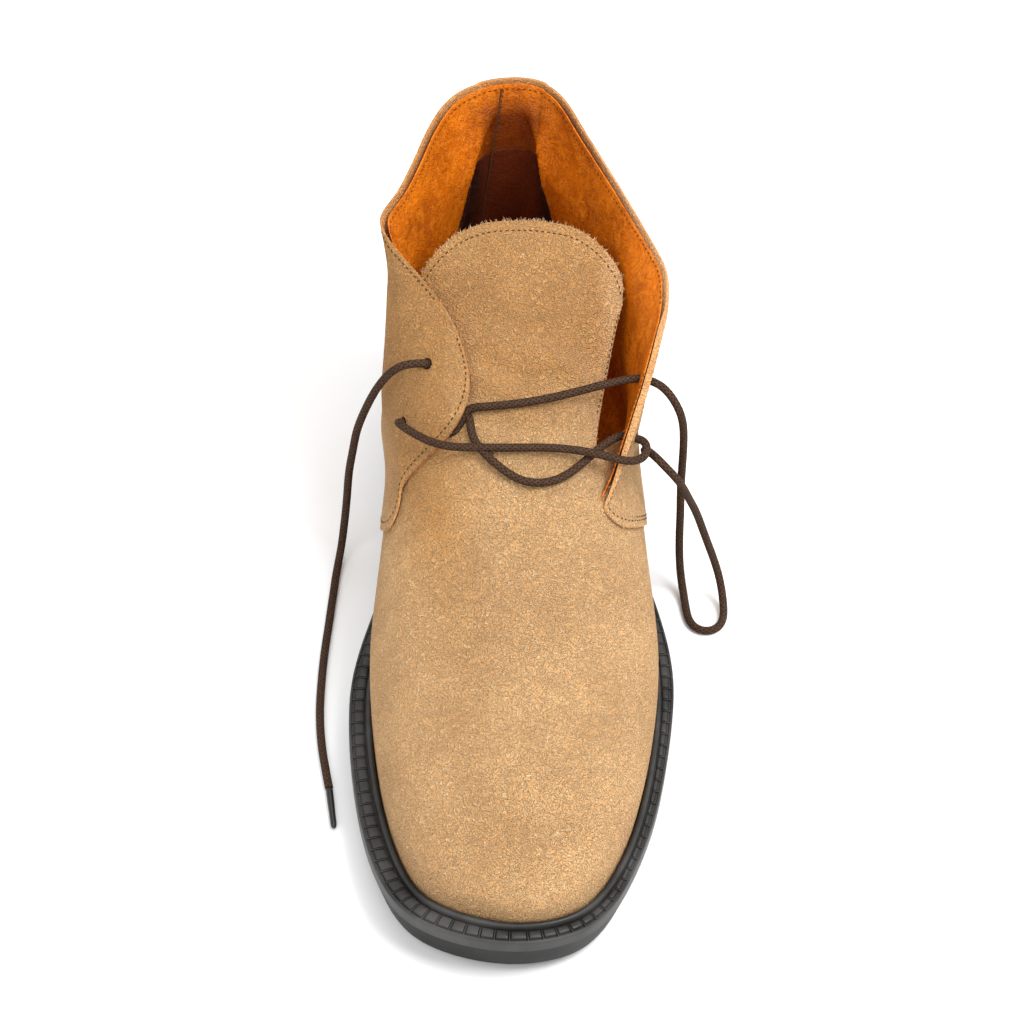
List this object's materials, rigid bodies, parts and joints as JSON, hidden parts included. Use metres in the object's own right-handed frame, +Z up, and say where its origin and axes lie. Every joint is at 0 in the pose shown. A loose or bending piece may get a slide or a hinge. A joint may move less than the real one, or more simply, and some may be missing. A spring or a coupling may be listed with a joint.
{
  "type": "chukka boot",
  "caption": "Unlined-look suede chukka boot for the left foot, with open lacing, soft tongue, storm welt and lugged rubber sole.",
  "frame": {"origin": "on the floor, under the middle of the boot without its loose lace ends", "axes": "+Z up, toe towards -Y, heel towards +Y, outer side of the foot towards +X"},
  "size_m": [0.149, 0.303, 0.1403],
  "materials": {
    "sole_rubber": "satin moulded",
    "welt_rubber": "matte moulded",
    "saddle_leather": "smooth",
    "suede": "napped",
    "waxed_cord": "waxed",
    "lace_tip": "satin"
  },
  "bodies": {
    "root": {"outsole": "sole_rubber", "welt": "welt_rubber", "insole": "saddle_leather", "upper": "suede", "tongue": "suede", "lace_crossings": "waxed_cord", "lace_end_inner": "waxed_cord", "lace_loop_outer": "waxed_cord", "aglet_inner": "lace_tip", "aglet_outer": "lace_tip"}
  },
  "joints": []
}
